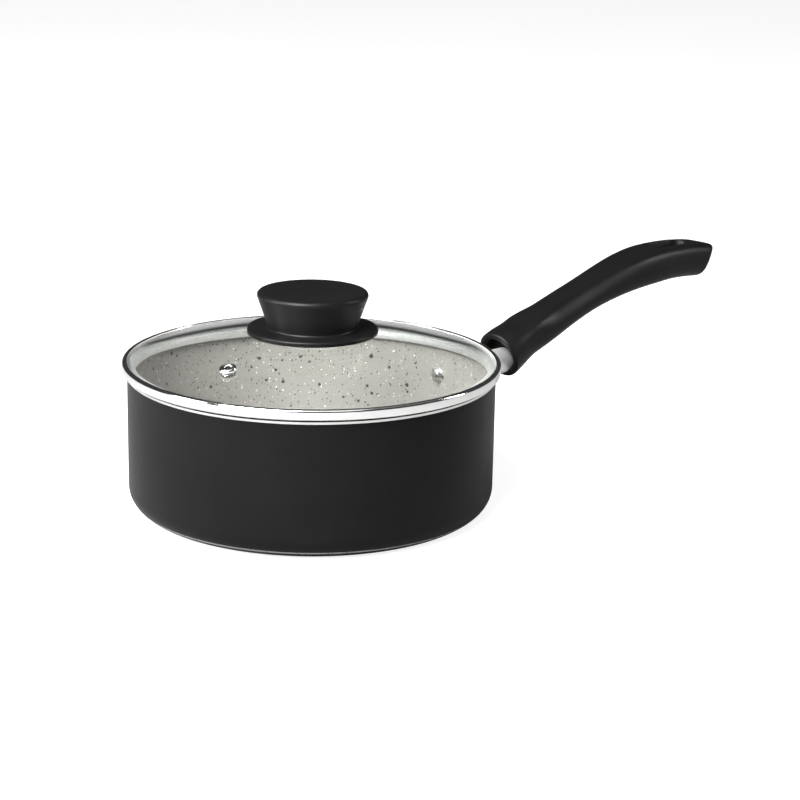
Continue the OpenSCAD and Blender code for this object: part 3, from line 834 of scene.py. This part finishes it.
def root_frame(distance, drop, k, radius=None, width=None, height=None):
    """A point on a circle or a rounded box, `distance` up the grip from its end face."""
    a = 2 * math.pi * k / SIDES
    if radius is not None:
        up, out = radius * math.sin(a), radius * math.cos(a)
    else:
        power = 2 / SOCKET_SQUARE
        up = math.copysign(abs(math.sin(a)) ** power, math.sin(a)) * height / 2
        out = math.copysign(abs(math.cos(a)) ** power, math.cos(a)) * width / 2
    up -= drop
    x = ROOT.x + distance * math.cos(ROOT_ANGLE) - up * math.sin(ROOT_ANGLE)
    z = ROOT.y + distance * math.sin(ROOT_ANGLE) + up * math.cos(ROOT_ANGLE)
    return Vector((x, out, z))


def sweep_grip():
    bm = bmesh.new()
    side = bm.verts.layers.int.new("side")
    bmesh.ops.create_circle(bm, segments=SIDES, radius=1.0, cap_ends=False)
    bm.verts.ensure_lookup_table()
    place = ring_place(0.0)
    for k, v in enumerate(bm.verts):
        v[side] = k
        v.co = section_point(*place, k)
    first = list(bm.edges)
    edges = first
    for i in range(1, RINGS + 1):
        place = ring_place(i / RINGS)
        edges = extrude_ring(bm, edges, side, lambda k: section_point(*place, k))
    for i in range(1, CAP_RINGS + 1):
        place = cap_place(math.pi / 2 * i / CAP_RINGS)
        edges = extrude_ring(bm, edges, side, lambda k: section_point(*place, k))
    at, angle, width, depth, square, shoulder = place
    for share in CAP_INSETS:
        edges = extrude_ring(bm, edges, side, lambda k: section_point(
            at, angle, width * share, depth * share, square, shoulder, k))
    bmesh.ops.holes_fill(bm, edges=edges, sides=0)
    edges = first
    for distance, radius in ((0, RECESS_R + RECESS_RIM), (0, RECESS_R), (RECESS_DEPTH, RECESS_R)):
        edges = extrude_ring(bm, edges, side, lambda k: root_frame(
            distance, 0, k, radius=radius))
    mouth_drop = (ROOT.y - LINE_Z) * math.cos(ROOT_ANGLE) + SOCKET_DROP
    edges = extrude_ring(bm, edges, side, lambda k: root_frame(
        RECESS_DEPTH, mouth_drop, k, width=SOCKET_W, height=SOCKET_H))
    edges = extrude_ring(bm, edges, side, lambda k: root_frame(
        SOCKET_END, 0, k, width=SOCKET_W, height=SOCKET_H))
    bmesh.ops.holes_fill(bm, edges=edges, sides=0)
    bmesh.ops.recalc_face_normals(bm, faces=bm.faces)
    return bm


# %% [markdown]
# Openings through the grip are cut so that the mesh stays made of quads. Faces that lie inside the
# opening's outline are taken away, the ragged edge that is left is drawn onto the outline, and the
# hole is walled: the hanging slot by bridging its upper edge to its lower one, and the screw's
# counterbore by extruding its edge inwards.

# %% Openings in the grip
SLOT_LEN = mm(32)
SLOT_W = mm(12)
SLOT_BACK = mm(23.6)
LEG_ANGLE = math.radians(25)
BEND = Vector((ROOT.x + mm(3.45), 0, LINE_Z))   # where the bracket's legs turn up
NUT_AT = mm(28.5)
COUNTERBORE_R = mm(4.1)
SEAT = mm(5.3)                  # from the middle of the legs to the screw head's seat
THROUGH = mm(30)                # more than half the grip's depth


def slot_frame():
    """Origin in the middle of the slot, X along it, Z through it."""
    mid = centre(1) - SLOT_BACK * TIP_LEAVES
    return Matrix.Translation((mid.x, 0, mid.y)) @ Matrix.Rotation(-TIP_ANGLE / 2, 4, "Y")


def screw_frame():
    """Origin on the bracket's legs at the nut, X up the grip, Z square to it."""
    return (Matrix.Translation(BEND) @ Matrix.Rotation(-LEG_ANGLE, 4, "Y")
            @ Matrix.Translation((NUT_AT, 0, 0)))


def stadium(x, y):
    """Distance from a point to the slot's outline, minus inside, and the nearest point on it."""
    half = (SLOT_LEN - SLOT_W) / 2
    core = Vector((min(half, max(-half, x)), 0.0))
    away = Vector((x, y)) - core
    length = max(away.length, 1e-9)
    return length - SLOT_W / 2, core + away * (SLOT_W / 2 / length)


def disc(x, y):
    away = Vector((x, y))
    length = max(away.length, 1e-9)
    return length - COUNTERBORE_R, away * (COUNTERBORE_R / length)


def open_hole(bm, tree, matrix, shape, facing):
    """Removes the faces inside an outline and draws the edge onto it. Returns the edges, by side.
    `facing` is (1, -1) to cut both sides, or (-1,) to cut only the lower one."""
    inverse = matrix.inverted()
    turned = inverse.to_3x3()
    least_tilt = 0.35
    near = mm(4)
    doomed = []
    for face in bm.faces:
        here = inverse @ face.calc_center_median()
        up = (turned @ face.normal).z
        if abs(up) > least_tilt and math.copysign(1, up) in facing and abs(here.z) < THROUGH:
            if shape(here.x, here.y)[0] < 0 and up * here.z > 0:
                doomed.append(face)
    bmesh.ops.delete(bm, geom=doomed, context="FACES")
    loops = {s: [] for s in facing}
    for edge in bm.edges:
        if edge.is_boundary:
            here = inverse @ edge.verts[0].co
            if shape(here.x, here.y)[0] < near and abs(here.z) < THROUGH:
                loops[1 if len(facing) == 2 and here.z > 0 else -1].append(edge)
    for sign, edges in loops.items():
        for v in {v for e in edges for v in e.verts}:
            here = inverse @ v.co
            spot = shape(here.x, here.y)[1]
            start = matrix @ Vector((spot.x, spot.y, sign * THROUGH))
            hit = tree.ray_cast(start, matrix.to_3x3() @ Vector((0, 0, -sign)))[0]
            v.co = hit if hit is not None else matrix @ Vector((spot.x, spot.y, here.z))
    return loops


# %% [markdown]
# The grip comes out of its mould with rounded edges. The slot's edges and the edges of the end face
# at the root are bevelled last, so that they catch a thin highlight.

# %% Make the grip
SLOT_ROUND = mm(1.0)
ROOT_ROUND = mm(1.1)


def round_edges(bm, edges, radius, segments):
    bmesh.ops.bevel(bm, geom=edges, offset=radius, offset_type="OFFSET", segments=segments,
                    profile=0.5, affect="EDGES", material=-1, clamp_overlap=True)


def on_end_face(vertex):
    """True for the points of the flat face at the grip's root."""
    away = vertex.co - Vector((ROOT.x, 0, ROOT.y))
    return abs(away.dot(Vector((ROOT_LEAVES.x, 0, ROOT_LEAVES.y)))) < mm(0.05)


def make_grip():
    bm = sweep_grip()
    tree = BVHTree.FromBMesh(bm)
    edges = open_hole(bm, tree, slot_frame(), stadium, (1, -1))
    print("slot edges:", len(edges[1]), len(edges[-1]))
    slot_edges = edges[1] + edges[-1]
    bmesh.ops.bridge_loops(bm, edges=slot_edges)
    place = screw_frame()
    bore = open_hole(bm, tree, place, disc, (-1,))[-1]
    print("counterbore edges:", len(bore))
    made = bmesh.ops.extrude_edge_only(bm, edges=bore)["geom"]
    inverse = place.inverted()
    for v in made:
        if isinstance(v, bmesh.types.BMVert):
            here = inverse @ v.co
            v.co = place @ Vector((here.x, here.y, -SEAT))
    seat = [e for e in made if isinstance(e, bmesh.types.BMEdge) and e.is_boundary]
    bmesh.ops.holes_fill(bm, edges=seat, sides=0)
    round_edges(bm, slot_edges, SLOT_ROUND, segments=2)
    side = bm.verts.layers.int["side"]
    root_edges = [e for e in bm.edges if len(e.link_faces) == 2
                  and all(on_end_face(v) for v in e.verts)
                  and abs(e.verts[0][side] - e.verts[1][side]) in (1, SIDES - 1)]
    sharp = [e for e in root_edges if e.calc_face_angle(0) > math.radians(40)]
    round_edges(bm, sharp, ROOT_ROUND, segments=3)
    bmesh.ops.recalc_face_normals(bm, faces=bm.faces)
    piece = finish_mesh(bm, "moulded_grip", [phenolic], "pan", sharp=60)
    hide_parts("handle_grip")
    return piece


grip = make_grip()

# %% [markdown]
# ## Finishes for the pieces that stay as they are
# The rivet, flame guard, bracket, screws, washers, gaskets and the brass insert already have the
# right shape, so they only get their finish.

# %% Finish the carried-over pieces
CARRIED = {"handle_rivet": rivet_metal, "flame_guard": guard_steel, "handle_bracket": zinc,
           "anchor_nut": zinc, "handle_screw": zinc, "handle_lock_washer": zinc,
           "knob_screw": zinc, "knob_washer": zinc, "knob_insert": brass,
           "vent_gasket": silicone, "flange_gasket": silicone, "knob_gasket": silicone}
for name, finish in CARRIED.items():
    mesh = nodes[name].data
    mesh.materials.clear()
    mesh.materials.append(finish)
print("carried over:", len(CARRIED))

# %% [markdown]
# ## Floor and light
# A pale floor and large soft lamps, as in a product studio. A white room would fill the black
# enamel and the glass with grey reflections, so the floor glows only where it is looked at
# straight or through the glass, and is dark where the pan reflects it. A photographer does the
# same with black cards that stand just outside the view.

# %% Floor
FLOOR_GLOW = 0.85


def seen_straight(tree, bright):
    """`bright` for what is looked at straight or through glass, and 0 for all other light."""
    path = add_node(tree, "ShaderNodeLightPath")
    either = add_node(tree, "ShaderNodeMath", operation="MAXIMUM", links={
        0: path.outputs["Is Camera Ray"], 1: path.outputs["Is Transmission Ray"]})
    return map_range(tree, either.outputs[0], 0.0, 1.0, 0.0, bright)


def make_floor():
    bm = bmesh.new()
    bmesh.ops.create_grid(bm, x_segments=2, y_segments=2, size=8.0)
    mesh = bpy.data.meshes.new("floor")
    bm.to_mesh(mesh)
    bm.free()
    material, tree, shader, place = new_finish("pale_floor", **{
        "Roughness": 0.9, "Specular IOR Level": 0.1, "Emission Color": srgb("#ffffff")})
    tone = blend_colour(tree, noise(tree, place, 400, 2.0), "#8e8e8e", "#929292")
    tree.links.new(tone, shader.inputs["Base Color"])
    tree.links.new(seen_straight(tree, FLOOR_GLOW), shader.inputs["Emission Strength"])
    mesh.materials.append(material)
    floor = bpy.data.objects.new("floor", mesh)
    bpy.context.scene.collection.objects.link(floor)
    floor.location.z = -mm(0.2)         # just clear of the pan's underside
    return floor


floor = make_floor()
print("floor at", round(floor.location.z, 5))

# %% [markdown]
# One large softbox stands to the left of the camera and gives the main light. A narrow one on each
# side draws a soft edge down the black wall, and a broad weak one overhead fills the inside of the
# pan. The room is dim in reflections and lightens overhead, and is white only to whoever looks
# straight at it.

# %% Lamps and world
def add_softbox(name, azimuth, elevation, distance, width, height, power):
    """A rectangular lamp that faces the pan. Azimuth is counted from the camera, to its right."""
    data = bpy.data.lights.new(name, "AREA")
    data.shape = "RECTANGLE"
    data.size, data.size_y, data.energy = width, height, power
    lamp = bpy.data.objects.new(name, data)
    bpy.context.scene.collection.objects.link(lamp)
    a = math.radians(azimuth - 90) - HANDLE_TURN
    e = math.radians(elevation)
    aim = Vector((0, 0, RIM_Z))
    lamp.location = aim + distance * Vector((math.cos(a) * math.cos(e), math.sin(a) * math.cos(e),
                                             math.sin(e)))
    lamp.rotation_euler = (aim - lamp.location).to_track_quat("-Z", "Y").to_euler()
    return lamp


# Azimuth and elevation in degrees, distance, width and height in metres, power in watts
LAMPS = {"key_softbox": (-38, 44, 1.4, 0.9, 0.9, 108), "left_softbox": (-80, 22, 1.3, 0.35, 0.7, 20),
         "right_softbox": (97, 22, 1.5, 0.12, 0.7, 9), "top_softbox": (0, 66, 1.5, 1.2, 1.0, 6)}
ROOM_WALLS = 0.05
ROOM_CEILING = 0.3


def make_world():
    """A dim room that lightens overhead, and is white to whoever looks straight at it."""
    world = bpy.data.worlds.new("studio")
    bpy.context.scene.world = world
    world.use_nodes = True
    tree = world.node_tree
    look = add_node(tree, "ShaderNodeTexCoord").outputs["Generated"]
    height = add_node(tree, "ShaderNodeSeparateXYZ", links={"Vector": look}).outputs["Z"]
    room = map_range(tree, height, 0.6, 1.0, ROOM_WALLS, ROOM_CEILING)
    straight = add_node(tree, "ShaderNodeLightPath").outputs["Is Camera Ray"]
    strength = add_node(tree, "ShaderNodeMath", links={0: room, 1: straight}, operation="MAXIMUM")
    background = tree.nodes["Background"]
    background.inputs["Color"].default_value = srgb("#ffffff")
    tree.links.new(strength.outputs[0], background.inputs["Strength"])


for name, setting in LAMPS.items():
    add_softbox(name, *setting)
make_world()
bpy.context.scene.view_settings.view_transform = "Standard"
print("lamps:", len(LAMPS))
